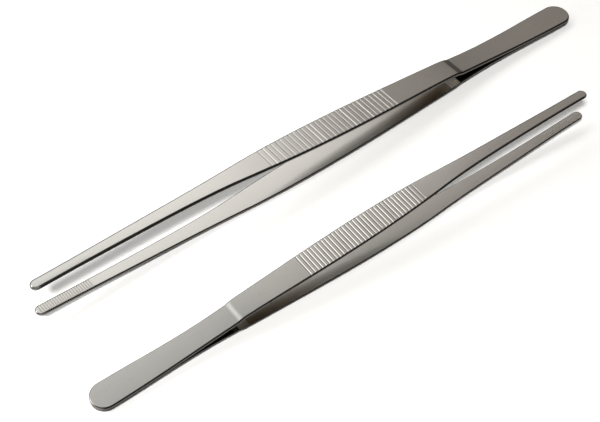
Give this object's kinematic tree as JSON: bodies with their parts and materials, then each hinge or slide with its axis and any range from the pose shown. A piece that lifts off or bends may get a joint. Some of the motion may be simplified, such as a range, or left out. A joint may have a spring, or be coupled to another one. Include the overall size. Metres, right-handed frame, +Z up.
{
  "type": "print tongs",
  "caption": "Long and short stainless steel print tongs with welded heels, sprung arms, grooved grips and fine-toothed rounded jaws, lying side by side.",
  "frame": {"origin": "on the table, under the middle of the long tongs' smooth rest face, in front of the grip grooves", "axes": "+X along the long tongs from heel to tips, +Z up from the table"},
  "size_m": [0.3039, 0.0657, 0.0243],
  "materials": {
    "arm_steel": "satin ground stainless steel with bright edges",
    "weld_steel": "fused weld metal, sealed between the heel pads"
  },
  "bodies": {
    "resting_arms": {"long_lower_blade": "arm_steel", "long_lower_neck": "arm_steel", "short_lower_blade": "arm_steel", "short_lower_neck": "arm_steel"},
    "long_heel": {"long_lower_heel": "arm_steel", "long_upper_heel": "arm_steel", "long_heel_welds": "weld_steel"},
    "long_upper_arm": {"long_upper_blade": "arm_steel", "long_upper_neck": "arm_steel"},
    "short_heel": {"short_lower_heel": "arm_steel", "short_upper_heel": "arm_steel", "short_heel_welds": "weld_steel"},
    "short_upper_arm": {"short_upper_blade": "arm_steel", "short_upper_neck": "arm_steel"}
  },
  "joints": [
    {"name": "long_lower_bend", "type": "hinge", "parent": "resting_arms", "child": "long_heel", "pos_m": [-0.06218, 0, 0.00262], "axis": [0, 1, 0], "range_deg": [0, 1.62], "stiffness_Nm_per_rad": 20},
    {"name": "long_upper_bend", "type": "hinge", "parent": "long_heel", "child": "long_upper_arm", "pos_m": [-0.06229, 0, 0.00496], "axis": [0, 1, 0], "range_deg": [0, 1.62], "stiffness_Nm_per_rad": 20},
    {"name": "short_lower_bend", "type": "hinge", "parent": "resting_arms", "child": "short_heel", "pos_m": [0.15662, 0.0471, 0.00222], "axis": [-0.0436, -0.999, 0], "range_deg": [0, 1.62], "stiffness_Nm_per_rad": 15},
    {"name": "short_upper_bend", "type": "hinge", "parent": "short_heel", "child": "short_upper_arm", "pos_m": [0.15671, 0.0471, 0.0042], "axis": [-0.0436, -0.999, 0], "range_deg": [0, 1.62], "stiffness_Nm_per_rad": 15}
  ],
  "couplings": [
    {"joint": "long_upper_bend", "follows": "long_lower_bend", "ratio": 1},
    {"joint": "short_upper_bend", "follows": "short_lower_bend", "ratio": 1}
  ]
}
